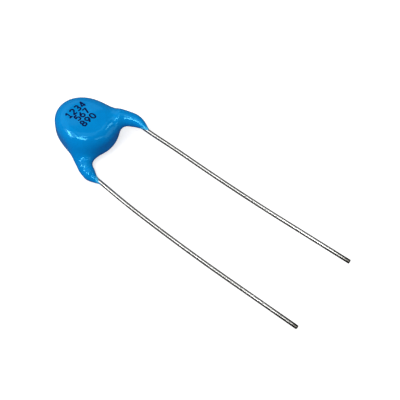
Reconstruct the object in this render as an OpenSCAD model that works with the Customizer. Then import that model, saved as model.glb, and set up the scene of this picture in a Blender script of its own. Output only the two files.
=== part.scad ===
// High-voltage ceramic disc capacitor, dipped in epoxy, with two long round leads.
//
// The disc is modelled in its own frame: its middle is at the origin, its faces look along Z,
// and the leads run towards -Y. rest_pose() then lays it down as it comes to rest, on the
// coating and the left lead's tip. All lengths are in millimetres.

// Every separate piece, by name.

// Which piece to draw, or all of them.

/* [Coated body] */

// Width of the coated disc across its faces, mm.
coat_width = 8.67; // [6:0.01:12]
// Thickness of the coated disc from face to face, mm.
coat_thickness = 4.74; // [3.5:0.01:6]
// Rounding of the edge between face and rim, mm.
edge_round = 1.8; // [0.6:0.1:1.9]
// How far the resin has sagged past the round at the end away from the leads, mm.
crown_sag = 1.24; // [0:0.05:2]

/* [Coated legs] */

// Radius of the coated leg along most of its length, mm.
leg_radius = 0.97; // [0.75:0.01:1.2]
// Length over which a leg narrows to its end, mm.
taper_length = 2.48; // [1:0.1:3.5]
// Thickness of the resin where it stops on the lead, mm.
end_film = 0.09; // [0.05:0.01:0.2]
// Radius of a leg's bend, and of the wire inside it, mm.
bend_radius = 5.3; // [4:0.1:6.5]
// Angle of that bend, degrees.
bend_angle = 48; // [40:1:56]
// Distance from the disc's middle to where a leg runs straight down, mm.
bend_drop = 5.9; // [5:0.05:7]
// Distance from the disc's middle to the end of the right leg, mm.
right_leg_drop = 6.75; // [6:0.05:9]
// Distance from the disc's middle to the end of the left leg, mm.
left_leg_drop = 7.2; // [6:0.05:9]
// How widely the resin flows together between disc and leg, mm.
web_blend = 3.72; // [1:0.05:6]

/* [Leads] */

// Distance between the two leads where they leave the coating, mm.
lead_pitch = 10; // [8:0.5:13]
// Diameter of the tinned wire, mm.
lead_diameter = 0.6; // [0.5:0.01:0.7]
// Length of wire that curves gently after the bend, mm.
sweep_length = 26.4; // [15:0.5:35]
// Angle through which that length curves, degrees.
sweep_angle = 4.7; // [1:0.1:8]
// Outward lean of the right lead where it leaves the bend, degrees.
right_lean = 1.1; // [0:0.1:4]
// Outward lean of the left lead there, degrees.
left_lean = 0.6; // [0:0.1:4]
// Straight wire at the right tip, mm.
right_pin_length = 10.7; // [6:0.1:16]
// Straight wire at the left tip, mm.
left_pin_length = 11.2; // [6:0.1:16]

/* [Ceramic and electrodes] */

// Resin between the ceramic's rim and the coated disc's rim, mm.
rim_cover = 1.13; // [0.6:0.01:1.5]
// Resin between the ceramic's face and the coated disc's face, mm.
face_cover = 1.27; // [1.05:0.01:1.5]
// How far the ceramic sits towards the end away from the leads, mm.
ceramic_offset = 0.5; // [0:0.05:1]
// Bare ceramic left around the fired silver electrode on each face, mm.
electrode_margin = 0.4; // [0.2:0.05:0.8]
// Thickness of each electrode, mm.
electrode_thickness = 0.05; // [0.03:0.01:0.1]
// Gap of solder between a wire and the electrode under it, mm.
wire_gap = 0.05; // [0.02:0.01:0.1]

/* [Solder] */

// Radius of the solder mound on an electrode, mm.
solder_radius = 1.15; // [0.9:0.05:1.4]
// Solder standing above the top of the wire at the mound's middle, mm.
solder_cap = 0.15; // [0.05:0.01:0.25]
// Distance from the mound's middle back to the point nearest the ceramic's middle, mm.
solder_shift = 1.2; // [0.6:0.1:1.5]

/* [Resting attitude] */

// Pitch of the disc as it lies, crown up, degrees.
rest_pitch = 1.136; // [0:0.001:3]
// Roll of the disc as it lies, right side down, degrees.
rest_roll = 1.225; // [0:0.001:5]
// Height of the disc's middle above the surface it lies on, mm.
rest_height = 2.588; // [2:0.001:3.5]
// Sideways place of the disc's middle, mm.
rest_x = -1.025; // [-3:0.001:3]
// Lengthwise place of the disc's middle, mm.
rest_y = 18.926; // [10:0.001:25]

/* [Hidden] */

$fn = 96;
// Points around one cross-section of the coating.
RIM_POINTS = 48;
// Cross-sections fanned through the disc from leg to leg.
FAN_STEPS = 60;
// Halvings when a point of the coating's surface is found.
HALVINGS = 14;
// Farthest that surface can be from its section's middle.
REACH = 5.6 * max(1, coat_width / 8.54, lead_pitch / 10);
// Short space left between two lengths of wire, bridged by a bead.
BEAD_GAP = 0.01;
// How much a bead stands proud of the wire.
BEAD_PROUD = 0.002;

coat_radius = coat_width / 2;
coat_half = coat_thickness / 2;
crown_scale = coat_radius / (coat_radius + crown_sag);
lead_radius = lead_diameter / 2;
ceramic_diameter = coat_width - 2 * rim_cover;
ceramic_thickness = coat_thickness - 2 * face_cover;
electrode_diameter = ceramic_diameter - 2 * electrode_margin;
electrode_face = ceramic_thickness / 2 + electrode_thickness;
wire_height = electrode_face + wire_gap + lead_radius;
half_pitch = lead_pitch / 2;
leg_end_radius = lead_radius + end_film;
sweep_radius = sweep_length * 180 / (PI * sweep_angle);
fan_drop = bend_drop + 0.2;
// The bend's centre and its inner end, in the right half.
bend_centre = [half_pitch - bend_radius, -bend_drop];
bend_end = bend_centre + bend_radius * [cos(bend_angle), sin(bend_angle)];
// The way the wire runs on from there, over the electrode.
inner_way = [-sin(bend_angle), cos(bend_angle)];
// How far a leg's resin follows the wire past the bend, and where it dips to mid-thickness.
INNER_RESIN = 2;
DIP_START = 4.2;
DIP_LENGTH = 2;
// Beyond this distance a leg stops drawing resin to itself.
PULL_RANGE = 2;

// The wire is drawn from the end of its bend: the outer length runs to -Y.
function sweep_place(lean, c) = let(v = c - [half_pitch, -bend_drop])
  [v.x * cos(lean) + v.y * sin(lean), v.y * cos(lean) - v.x * sin(lean)];
bend_start = bend_end - [half_pitch, -bend_drop];
// Distance from the bend along the inner wire to the point nearest the ceramic's middle.
function inner_reach(lean) = (sweep_place(lean, [0, ceramic_offset]) - bend_start) * inner_way;
function joint_reach(lean) = inner_reach(lean) - solder_shift;
function inner_length(lean) = joint_reach(lean) + 0.65 * solder_radius;
solder_height = wire_gap + lead_diameter + solder_cap;
solder_sphere = (solder_radius * solder_radius + solder_height * solder_height)
  / (2 * solder_height);

// ---- the coating's surface, as a field that is negative inside ----

function blend(a, b, k) = let(h = max(k - abs(a - b), 0) / k) min(a, b) - h * h * h * k / 6;

function disc_field(p) = let(
    a = norm([p.x, p.y > 0 ? p.y * crown_scale : p.y]) - coat_radius + edge_round,
    b = abs(p.z) - coat_half + edge_round)
  norm([max(a, 0), max(b, 0)]) + min(max(a, b), 0) - edge_round;

function ease(x) = let(u = max(0, min(1, x))) u * u * (3 - 2 * u);

// Radius and height of a leg, by the distance s along its middle line from its end.
function leg_radius_at(s) = let(u = max(0, min(1, s / taper_length)))
  leg_end_radius + (leg_radius - leg_end_radius) * u * (2 - u);
function leg_height_at(s) = wire_height * (1 - ease((s - DIP_START) / DIP_LENGTH));

// The middle line is a straight end, the bend, and a straight way into the disc.
// p is given in the leg's own half: right leg as it is, left leg turned about Y.
function leg_field(p, drop) = let(
    q = [p.x, p.y],
    out = drop - bend_drop,
    v = q - bend_centre,
    turn = max(0, min(bend_angle, atan2(v.y, v.x))),
    down = max(0, min(out, -bend_drop - p.y)),
    inward = max(0, min(INNER_RESIN, (q - bend_end) * inner_way)),
    to_bend = norm(v - bend_radius * [cos(turn), sin(turn)]),
    to_end = norm(q - [half_pitch, -bend_drop - down]),
    to_root = norm(q - bend_end - inward * inner_way),
    near = min(to_bend, to_end, to_root),
    s = near == to_bend ? out + bend_radius * turn * PI / 180
      : near == to_end ? out - down
      : out + bend_radius * bend_angle * PI / 180 + inward,
    far = max(0, near - PULL_RANGE))
  norm([near, p.z - leg_height_at(s)]) - leg_radius_at(s) + far * far / 2;

function coat_field(p) = blend(
    blend(
      disc_field(p),
      leg_field(p, right_leg_drop),
      web_blend),
    leg_field([-p.x, p.y, -p.z], left_leg_drop),
    web_blend);

// Distance from o along d to the surface, by halving.
function skin_at(o, d, low, high, n) = n == 0 ? (low + high) / 2 : let(m = (low + high) / 2)
  coat_field(o + m * d) > 0 ? skin_at(o, d, low, m, n - 1) : skin_at(o, d, m, high, n - 1);

// ---- the sections: each is [middle, direction outwards, flatness] ----

function fan_section(a) = let(
    d = [sin(a), cos(a), 0],
    w = ease((abs(a) - 20) / 42),
    r = half_pitch + 0.4 * coat_radius * pow(cos(a), 4))
  [[0, -fan_drop, sign(a) * wire_height * w] + r * d, d, 0.5 + 0.5 * ease((abs(a) - 20) / 55)];

function leg_section(side, drop) =
  [[side * half_pitch, -drop, side * wire_height], [side, 0, 0], 1];

// The resin stops as a blunt ring around the wire, not as a point.
end_ring = lead_radius + 0.35 * end_film;
end_extra = sqrt(leg_end_radius * leg_end_radius - end_ring * end_ring);
function leg_drops(full) = [
  full + end_extra,
  full + end_extra * 0.55,
  full,
  (full * 2 + fan_drop) / 3,
  (full + fan_drop * 2) / 3,
];

function section_points(s) = [
  for (i = [0 : RIM_POINTS - 1]) let(
    t = 360 * i / RIM_POINTS,
    v = [cos(t), s[2] * sin(t)] / norm([cos(t), s[2] * sin(t)]),
    d = v.x * s[1] + [0, 0, v.y])
  s[0] + skin_at(s[0], d, 0, REACH, HALVINGS) * d
];

module coating_skin() {
  right = [for (d = leg_drops(right_leg_drop)) leg_section(1, d)];
  fan = [for (i = [0 : FAN_STEPS]) fan_section(90 - 180 * i / FAN_STEPS)];
  left_out = leg_drops(left_leg_drop);
  left = [for (i = [len(left_out) - 1 : -1 : 0]) leg_section(-1, left_out[i])];
  sections = concat(right, fan, left);
  points = [for (s = sections) each section_points(s)];
  last = len(sections) - 1;
  m = RIM_POINTS;
  sides = [
    for (i = [0 : last - 1], j = [0 : m - 1]) let(
      a = i * m + j,
      b = i * m + (j + 1) % m)
    each [[a, b, b + m], [a, b + m, a + m]]
  ];
  first_cap = [for (j = [1 : m - 2]) [0, j + 1, j]];
  last_cap = [for (j = [1 : m - 2]) [last * m, last * m + j, last * m + j + 1]];
  polyhedron(points, concat(sides, first_cap, last_cap), convexity = 6);
}

// ---- placing ----

module rest_pose() {
  translate([rest_x, rest_y, rest_height])
    rotate([rest_pitch, rest_roll, 0])
      children();
}

// Side 1 is the right half, side -1 the left half: the same, turned about Y.
module half_frame(side) {
  rotate([0, side > 0 ? 0 : 180, 0])
    children();
}

module wire_frame(side) {
  half_frame(side)
    translate([half_pitch, -bend_drop, wire_height])
      rotate([0, 0, lean_of(side)])
        children();
}

// ---- the wire ----

module bead() {
  sphere(r = lead_radius + BEAD_PROUD);
}

// An arc of wire in the XY plane that starts at the origin and turns left while heading -Y.
module wire_arc(radius, angle) {
  space = BEAD_GAP * 180 / (PI * radius);
  translate([radius, 0, 0])
    rotate([0, 0, 180 + space])
      rotate_extrude(angle = angle - 2 * space)
        translate([radius, 0])
          circle(r = lead_radius);
}

// Moves children to the end of such an arc, with -Y still the way on.
module past_arc(radius, angle) {
  translate([radius, 0, 0])
    rotate([0, 0, angle])
      translate([-radius, 0, 0])
        children();
}

module wire_line(length) {
  translate([0, -BEAD_GAP, 0])
    rotate([90, 0, 0])
      cylinder(r = lead_radius, h = length - BEAD_GAP);
}

// Each lead's lean, the way its long sweep turns (1 is away from the other lead), and its tip.
function lean_of(side) = side > 0 ? right_lean : left_lean;
function pin_of(side) = side > 0 ? right_pin_length : left_pin_length;

module wire(side) {
  mirror([side > 0 ? 0 : 1, 0, 0]) {
    wire_arc(sweep_radius, sweep_angle);
    past_arc(sweep_radius, sweep_angle) {
      bead();
      wire_line(pin_of(side));
    }
  }
  bead();
  // The inner part goes the other way: back around the bend and across the electrode.
  rotate([0, 0, 180]) {
    wire_arc(bend_radius, bend_angle);
    past_arc(bend_radius, bend_angle) {
      bead();
      wire_line(inner_length(lean_of(side)));
    }
  }
}

// Moves children to the solder joint's middle, at the electrode's face.
module joint_frame(side) {
  wire_frame(side)
    translate([bend_start.x, bend_start.y, electrode_face - wire_height])
      rotate([0, 0, bend_angle])
        translate([0, joint_reach(lean_of(side)), 0])
          children();
}

module mound_ball() {
  translate([0, 0, solder_height - solder_sphere])
    sphere(r = solder_sphere);
}

module electrode_plate() {
  translate([0, ceramic_offset, ceramic_thickness / 2])
    cylinder(d = electrode_diameter, h = electrode_thickness);
}

module solder_joint(side) {
  difference() {
    joint_frame(side)
      intersection() {
        mound_ball();
        cylinder(r = 1.5 * solder_radius, h = 2 * solder_height);
      }
    wire_frame(side)
      wire(side);
  }
}

// ---- the pieces ----

module epoxy_coating() {
  color([0, 0.52, 0.82])
    rest_pose()
      difference() {
        coating_skin();
        translate([0, ceramic_offset, 0])
          cylinder(d = ceramic_diameter, h = ceramic_thickness, center = true);
        translate([0, ceramic_offset, 0])
          cylinder(d = electrode_diameter, h = 2 * electrode_face, center = true);
        joint_frame(1)
          mound_ball();
        joint_frame(-1)
          mound_ball();
        wire_frame(1)
          wire(1);
        wire_frame(-1)
          wire(-1);
      }
}

module ceramic_disc() {
  color([0.62, 0.52, 0.4])
    rest_pose()
      translate([0, ceramic_offset, 0])
        cylinder(d = ceramic_diameter, h = ceramic_thickness, center = true);
}

module front_electrode() {
  color([0.85, 0.85, 0.83])
    rest_pose()
      half_frame(1)
        electrode_plate();
}

module rear_electrode() {
  color([0.85, 0.85, 0.83])
    rest_pose()
      half_frame(-1)
        electrode_plate();
}

module front_solder_joint() {
  color([0.7, 0.71, 0.72])
    rest_pose()
      solder_joint(1);
}

module rear_solder_joint() {
  color([0.7, 0.71, 0.72])
    rest_pose()
      solder_joint(-1);
}

module right_lead() {
  color([0.8, 0.8, 0.79])
    rest_pose()
      wire_frame(1)
        wire(1);
}

module left_lead() {
  color([0.8, 0.8, 0.79])
    rest_pose()
      wire_frame(-1)
        wire(-1);
}

epoxy_coating();
ceramic_disc();
front_electrode();
rear_electrode();
front_solder_joint();
rear_solder_joint();
right_lead();
left_lead();
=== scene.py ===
"""Looks of a high-voltage ceramic disc capacitor: dipped resin, stamped digits, tinned leads.

The disc has its own frame, as in the part's source: its middle is at the origin, its faces look
along Z and its leads run towards -Y. RestPose lays that frame down in the row frame. Sizes in the
dataclasses are millimetres and angles are degrees, and meshes are in metres.
"""

import logging
import math
from dataclasses import dataclass, field
from enum import Enum
from typing import ClassVar, Iterable

import bpy
import numpy as np
from mathutils import Matrix, Vector


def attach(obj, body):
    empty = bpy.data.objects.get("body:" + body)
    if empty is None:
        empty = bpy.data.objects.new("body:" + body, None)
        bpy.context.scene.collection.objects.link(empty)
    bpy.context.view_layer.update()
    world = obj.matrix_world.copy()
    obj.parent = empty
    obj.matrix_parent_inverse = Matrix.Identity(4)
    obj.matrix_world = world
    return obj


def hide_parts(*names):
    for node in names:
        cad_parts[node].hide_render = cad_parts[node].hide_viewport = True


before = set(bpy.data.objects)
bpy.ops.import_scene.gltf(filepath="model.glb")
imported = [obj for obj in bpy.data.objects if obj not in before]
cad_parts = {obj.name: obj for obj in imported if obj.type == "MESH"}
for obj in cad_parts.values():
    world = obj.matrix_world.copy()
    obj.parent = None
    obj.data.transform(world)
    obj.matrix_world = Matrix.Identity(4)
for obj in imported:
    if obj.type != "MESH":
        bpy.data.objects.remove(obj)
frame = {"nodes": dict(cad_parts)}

log = logging.getLogger("disc_capacitor")

MM = 0.001
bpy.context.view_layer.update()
# The frame that the camera's focal length is worked out for, in pixels.
FRAME_WIDTH = 400
# A Mix node's colour sockets go by index, because their names repeat.
MIX_FACTOR, MIX_FIRST, MIX_SECOND, MIX_COLOUR = 0, 6, 7, 2
# What a node's inputs get, by name or index: a value, a socket to link from, or a node whose
# first output is linked.
Links = dict[str | int, object]


# ---------------------------------------------------------------- small tools


def linear(hex_colour: str) -> tuple[float, float, float, float]:
    """Turns an sRGB hex colour into a linear one.

    Args:
        hex_colour: A # and six hex digits.

    Returns:
        Red, green and blue in linear light, and an alpha of 1.
    """
    channels = [int(hex_colour[i : i + 2], 16) / 255 for i in (1, 3, 5)]
    r, g, b = (c / 12.92 if c <= 0.04045 else ((c + 0.055) / 1.055) ** 2.4 for c in channels)
    return (r, g, b, 1.0)


def per_metre(size_mm: float) -> float:
    """The texture scale that makes a pattern repeat about every size_mm in object space."""
    return 1.0 / (size_mm * MM)


def feed(tree: bpy.types.NodeTree, node: bpy.types.Node, links: Links) -> None:
    """Sets or links a node's inputs.

    Args:
        tree: The node's tree.
        node: The node.
        links: What its inputs get.
    """
    for name, value in links.items():
        if isinstance(value, bpy.types.Node):
            value = value.outputs[0]
        if isinstance(value, bpy.types.NodeSocket):
            tree.links.new(value, node.inputs[name])
        else:
            node.inputs[name].default_value = value


def add_node(
    tree: bpy.types.NodeTree,
    kind: str,
    settings: dict[str, object] | None = None,
    links: Links | None = None,
) -> bpy.types.Node:
    """Adds a node, sets its properties, and sets or links its inputs.

    Args:
        tree: The tree it goes into.
        kind: The node's type name.
        settings: Property names and values.
        links: What its inputs get.

    Returns:
        The new node.
    """
    node = tree.nodes.new(kind)
    for name, value in (settings or {}).items():
        setattr(node, name, value)
    feed(tree, node, links or {})
    return node


def placed(name: str, data: bpy.types.ID) -> bpy.types.Object:
    """Puts data in the scene.

    Args:
        name: The new object's name.
        data: Its mesh, curve, light or camera.

    Returns:
        The object, at the origin.
    """
    made = bpy.data.objects.new(name, data)
    bpy.context.scene.collection.objects.link(made)
    return made


def ease(x: np.ndarray | float) -> np.ndarray | float:
    """A smooth step from 0 to 1 as x goes from 0 to 1."""
    u = np.clip(x, 0.0, 1.0)
    return u * u * (3.0 - 2.0 * u)


def blend(a: np.ndarray, b: np.ndarray, reach: float) -> np.ndarray:
    """Joins two distance fields with a fillet of the given reach."""
    h = np.maximum(reach - np.abs(a - b), 0.0) / reach
    return np.minimum(a, b) - h * h * h * reach / 6.0


# ---------------------------------------------------------------- where the disc lies


class Side(Enum):
    """A lead's half of the disc: RIGHT is on the upper face, LEFT on the lower one."""

    RIGHT = 1
    LEFT = -1


@dataclass(frozen=True)
class RestPose:
    """How the disc's own frame lies in the row frame."""

    pitch: float = 1.136
    roll: float = 1.225
    x: float = -1.025
    y: float = 18.926
    height: float = 2.588

    def matrix(self) -> Matrix:
        """The disc frame's place in the row frame, in metres.

        Returns:
            The matrix that turns, rolls and lifts the disc.
        """
        place = Matrix.Translation(Vector((self.x, self.y, self.height)) * MM)
        roll = Matrix.Rotation(math.radians(self.roll), 4, "Y")
        return place @ roll @ Matrix.Rotation(math.radians(self.pitch), 4, "X")

    def lay(self, points_mm: np.ndarray) -> np.ndarray:
        """Points of the disc frame, in mm, as row frame points in metres."""
        turn = np.array(self.matrix())
        return points_mm * MM @ turn[:3, :3].T + turn[:3, 3]


# ---------------------------------------------------------------- finishes


class Finish:
    """What every finish shares: a named material with one Principled shader."""

    name: str = "finish"

    def material(self) -> bpy.types.Material:
        """Makes the finish's material once.

        Returns:
            The material of the finish's name.
        """
        found = bpy.data.materials.get(self.name)
        if found:
            return found
        made = bpy.data.materials.new(self.name)
        made.use_nodes = True
        tree = made.node_tree
        feed(tree, tree.nodes["Principled BSDF"], self.sockets(tree))
        return made

    def sockets(self, tree: bpy.types.NodeTree) -> Links:
        """Adds the nodes that drive the shader, and says what each of its inputs gets."""
        raise NotImplementedError

    @staticmethod
    def noise(
        tree: bpy.types.NodeTree,
        size_mm: float,
        detail: float,
        stretch: tuple[float, float, float] = (1.0, 1.0, 1.0),
    ) -> bpy.types.Node:
        """Noise in object space whose blotches are about size_mm wide.

        Args:
            tree: The material's tree.
            size_mm: The blotches' size.
            detail: How many finer octaves it has.
            stretch: The pattern's scale along each axis; under 1 draws it out.

        Returns:
            The noise node, whose first output runs from 0 to 1.
        """
        place = add_node(tree, "ShaderNodeTexCoord").outputs["Object"]
        turned = add_node(tree, "ShaderNodeMapping", links={"Vector": place, "Scale": stretch})
        return add_node(
            tree,
            "ShaderNodeTexNoise",
            links={"Vector": turned, "Scale": per_metre(size_mm), "Detail": detail},
        )

    @staticmethod
    def tinted(
        tree: bpy.types.NodeTree, pattern: bpy.types.Node, stops: tuple[tuple[float, str], ...]
    ) -> bpy.types.Node:
        """A colour that runs through sRGB hex stops as a pattern goes from 0 to 1.

        Args:
            tree: The material's tree.
            pattern: The node whose first output is the pattern.
            stops: Each stop's place, from 0 to 1, and its colour.

        Returns:
            The node whose first output is the colour.
        """
        ramp = add_node(tree, "ShaderNodeValToRGB", links={"Fac": pattern})
        elements = ramp.color_ramp.elements
        while len(elements) < len(stops):
            elements.new(0.5)
        for element, (place, colour) in zip(elements, stops):
            element.position = place
            element.color = linear(colour)
        return ramp

    @staticmethod
    def fading(
        tree: bpy.types.NodeTree, colour: bpy.types.Node, towards: str, attribute: str
    ) -> bpy.types.NodeSocket:
        """A colour that fades to another as an attribute of the mesh goes from 0 to 1.

        Args:
            tree: The material's tree.
            colour: The node whose first output is the colour.
            towards: The other colour, in sRGB hex.
            attribute: The attribute's name.

        Returns:
            The mixed colour's socket.
        """
        amount = add_node(tree, "ShaderNodeAttribute", {"attribute_name": attribute})
        mix = add_node(
            tree,
            "ShaderNodeMix",
            {"data_type": "RGBA"},
            {MIX_FACTOR: amount.outputs["Fac"], MIX_FIRST: colour, MIX_SECOND: linear(towards)},
        )
        return mix.outputs[MIX_COLOUR]


@dataclass(frozen=True)
class DippedEpoxy(Finish):
    """Pigmented epoxy dipped on hot and cured.

    It gives the eye a deep even blue under a wet gloss, with highlights that waver a little.
    """

    name: str = "dipped_blue_epoxy"
    colour: str = "#0083CB"
    deep: str = "#007EC6"
    pale: str = "#0088D0"
    cloud_size: float = 2.6
    # Where the resin feathers out on a wire, the tin shines through it.
    feathered: str = "#3BA6D8"
    # Cured resin flows out smooth, but keeps a faint orange peel of about this size and depth.
    peel_size: float = 0.9
    peel_depth: float = 0.0015
    # Its pigment tints what the gloss throws back.
    sheen: str = "#70E8FF"
    roughness: float = 0.11
    # The gloss varies between these shares of the roughness.
    haze: tuple[float, float] = (0.75, 1.3)
    haze_size: float = 0.5
    ior: float = 1.6

    def sockets(self, tree: bpy.types.NodeTree) -> Links:
        """A glossy dielectric with uneven pigment and a soft orange peel.

        Args:
            tree: The material's tree.

        Returns:
            What the shader's inputs get.
        """
        cloud = self.noise(tree, self.cloud_size, detail=3.0)
        stops = ((0.25, self.deep), (0.5, self.colour), (0.8, self.pale))
        colour = self.tinted(tree, cloud, stops)
        haze = {
            "Value": self.noise(tree, self.haze_size, detail=4.0),
            "To Min": self.haze[0] * self.roughness,
            "To Max": self.haze[1] * self.roughness,
        }
        peel = {
            "Height": self.noise(tree, self.peel_size, detail=1.0),
            "Distance": self.peel_depth * MM,
        }
        return {
            "Base Color": self.fading(tree, colour, self.feathered, "film"),
            "Roughness": add_node(tree, "ShaderNodeMapRange", links=haze),
            "Normal": add_node(tree, "ShaderNodeBump", links=peel),
            "IOR": self.ior,
            "Specular Tint": linear(self.sheen),
        }


@dataclass(frozen=True)
class StampedInk(Finish):
    """Marking ink pressed on with a rubber stamp.

    It gives the eye thin, dull, near-black digits that are bluer where the stamp pressed less.
    """

    name: str = "stamped_navy_ink"
    dense: str = "#00083A"
    thin: str = "#00165A"
    press_size: float = 0.22
    roughness: float = 0.5
    gloss: float = 0.1

    def sockets(self, tree: bpy.types.NodeTree) -> Links:
        """A dull film whose density varies.

        Args:
            tree: The material's tree.

        Returns:
            What the shader's inputs get.
        """
        press = self.noise(tree, self.press_size, detail=4.0)
        return {
            "Base Color": self.tinted(tree, press, ((0.42, self.dense), (0.75, self.thin))),
            "Roughness": self.roughness,
            "Specular IOR Level": self.gloss,
        }


@dataclass(frozen=True)
class TinnedCopper(Finish):
    """Copper wire hot-dipped in tin and drawn.

    It gives the eye a bright line down a grey wire, with fine lengthwise marks and soft dents.
    """

    name: str = "tinned_copper_wire"
    bright: str = "#E2E2E0"
    dull: str = "#CFCFCC"
    patch_size: float = 1.4
    # The tin's colour darkens to this towards the cut end.
    cut_end_dark: str = "#2A2820"
    roughness: float = 0.16
    # Dull patches and bright ones have these shares of the roughness.
    haze: tuple[float, float] = (1.25, 0.85)
    mark_size: float = 0.05
    mark_depth: float = 0.0005
    dent_size: float = 0.35
    dent_depth: float = 0.0004

    def sockets(self, tree: bpy.types.NodeTree) -> Links:
        """A metal with drawn lines along the wire, soft dents and duller patches.

        Args:
            tree: The material's tree.

        Returns:
            What the shader's inputs get.
        """
        # Each is drawn out along the row's Y, as the wire is, and the lines fifty times.
        lines = self.noise(tree, self.mark_size, detail=2.0, stretch=(1.0, 0.02, 1.0))
        dents = self.noise(tree, self.dent_size, detail=3.0, stretch=(1.0, 0.6, 1.0))
        patches = self.noise(tree, self.patch_size, detail=4.0, stretch=(1.0, 0.35, 1.0))
        colour = self.tinted(tree, patches, ((0.38, self.dull), (0.62, self.bright)))
        gloss = {
            "Value": patches,
            "To Min": self.haze[0] * self.roughness,
            "To Max": self.haze[1] * self.roughness,
        }
        dented = {"Height": dents, "Distance": self.dent_depth * MM}
        marked = {
            "Height": lines,
            "Distance": self.mark_depth * MM,
            "Normal": add_node(tree, "ShaderNodeBump", links=dented),
        }
        return {
            # The base colour darkens towards the wire's cut end, by the mesh attribute that the
            # lead marks.
            "Base Color": self.fading(tree, colour, self.cut_end_dark, "wear"),
            "Metallic": 1.0,
            "Roughness": add_node(tree, "ShaderNodeMapRange", links=gloss),
            "Normal": add_node(tree, "ShaderNodeBump", links=marked),
        }


@dataclass(frozen=True)
class GrainyFinish(Finish):
    """What the finishes of the cut ends and the sealed pieces share: two colours in one grain."""

    # The colours where the grain is low and where it is high.
    first: str
    second: str
    grain_size: float
    detail: float = 4.0
    # How far from the grain's middle each colour is pure.
    spread: float = 0.15
    relief: float = 0.0
    metallic: float = 1.0
    # The roughness where the grain is low and where it is high.
    roughness: tuple[float, float] = (0.4, 0.4)

    def sockets(self, tree: bpy.types.NodeTree) -> Links:
        """A colour, and where asked a relief and a changing gloss, from one grain.

        Args:
            tree: The material's tree.

        Returns:
            What the shader's inputs get.
        """
        grain = self.noise(tree, self.grain_size, self.detail)
        stops = ((0.5 - self.spread, self.first), (0.5 + self.spread, self.second))
        low, high = self.roughness
        made = {
            "Base Color": self.tinted(tree, grain, stops),
            "Metallic": self.metallic,
            "Roughness": low,
        }
        if low != high:
            gloss = {"Value": grain, "To Min": low, "To Max": high}
            made["Roughness"] = add_node(tree, "ShaderNodeMapRange", links=gloss)
        if self.relief:
            raised = {"Height": grain, "Distance": self.relief * MM}
            made["Normal"] = add_node(tree, "ShaderNodeBump", links=raised)
        return made


@dataclass(frozen=True)
class ShearedEnd(GrainyFinish):
    """The wire's cut end: rough copper smeared with tin by the shear, darkened as painted shade.
    """

    name: str = "sheared_copper_end"
    # Both colours are darker than bare copper and tin, which paints in the shade that the cut end
    # sits in.
    first: str = "#4A352B"
    second: str = "#3A3937"
    grain_size: float = 0.18
    detail: float = 3.0
    spread: float = 0.1
    relief: float = 0.02
    roughness: tuple[float, float] = (0.45, 0.45)


@dataclass(frozen=True)
class TitanateCeramic(GrainyFinish):
    """Fired barium titanate: to the eye a dense, matt, tan biscuit with a fine grain."""

    name: str = "fired_titanate_ceramic"
    first: str = "#A38B68"
    second: str = "#C3AE8C"
    grain_size: float = 0.3
    detail: float = 6.0
    relief: float = 0.01
    metallic: float = 0.0
    roughness: tuple[float, float] = (0.7, 0.7)


@dataclass(frozen=True)
class FiredSilver(GrainyFinish):
    """Silver paste screened on and fired: a pale satin film that shows the paste's grain."""

    name: str = "fired_silver_paste"
    first: str = "#C2C0B8"
    second: str = "#E4E2DA"
    grain_size: float = 0.12


@dataclass(frozen=True)
class TinSolder(GrainyFinish):
    """Solder that froze over the wire: a smooth bright mound with frosty patches."""

    name: str = "frozen_tin_solder"
    first: str = "#9DA0A2"
    second: str = "#C9CACB"
    grain_size: float = 0.4
    detail: float = 5.0
    spread: float = 0.1
    roughness: tuple[float, float] = (0.5, 0.25)


@dataclass(frozen=True)
class PaleFloor(Finish):
    """A plain white tabletop, lit from within to the eye, so that shadows on it stay faint."""

    name: str = "matt_white_tabletop"
    white: str = "#C6C6C6"
    # How strongly it glows up to the near distance. The glow rises to 1 at the far one, which
    # makes up for the lights' fall-off.
    glow: float = 0.7
    near: float = 60.0
    far: float = 400.0
    # What it throws back on the part, and what the part's gloss mirrors of it.
    bounce: str = "#788CB8"
    mirrored: str = "#4C4C4C"
    roughness: float = 0.9

    def sockets(self, tree: bpy.types.NodeTree) -> Links:
        """Plain white to the eye, a bluish bounce and a darker grey in reflections.

        Args:
            tree: The material's tree.

        Returns:
            What the shader's inputs get.
        """
        path = add_node(tree, "ShaderNodeLightPath")
        to_eye = path.outputs["Is Camera Ray"]
        unseen = {
            MIX_FACTOR: path.outputs["Is Glossy Ray"],
            MIX_FIRST: linear(self.bounce),
            MIX_SECOND: linear(self.mirrored),
        }
        mixed = add_node(tree, "ShaderNodeMix", {"data_type": "RGBA"}, unseen)
        seen = {
            MIX_FACTOR: to_eye,
            MIX_FIRST: mixed.outputs[MIX_COLOUR],
            MIX_SECOND: linear(self.white),
        }
        colour = add_node(tree, "ShaderNodeMix", {"data_type": "RGBA"}, seen)
        place = add_node(tree, "ShaderNodeTexCoord").outputs["Object"]
        away = add_node(tree, "ShaderNodeVectorMath", {"operation": "LENGTH"}, {"Vector": place})
        spread = {
            "Value": away.outputs["Value"],
            "From Min": self.near * MM,
            "From Max": self.far * MM,
            "To Min": self.glow,
            "To Max": 1.0,
        }
        glow = {0: add_node(tree, "ShaderNodeMapRange", links=spread), 1: to_eye}
        return {
            "Base Color": colour.outputs[MIX_COLOUR],
            "Emission Color": linear("#FFFFFF"),
            "Emission Strength": add_node(tree, "ShaderNodeMath", {"operation": "MULTIPLY"}, glow),
            "Roughness": self.roughness,
            "Specular IOR Level": 0.0,
        }


# ---------------------------------------------------------------- geometry node trees


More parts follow.
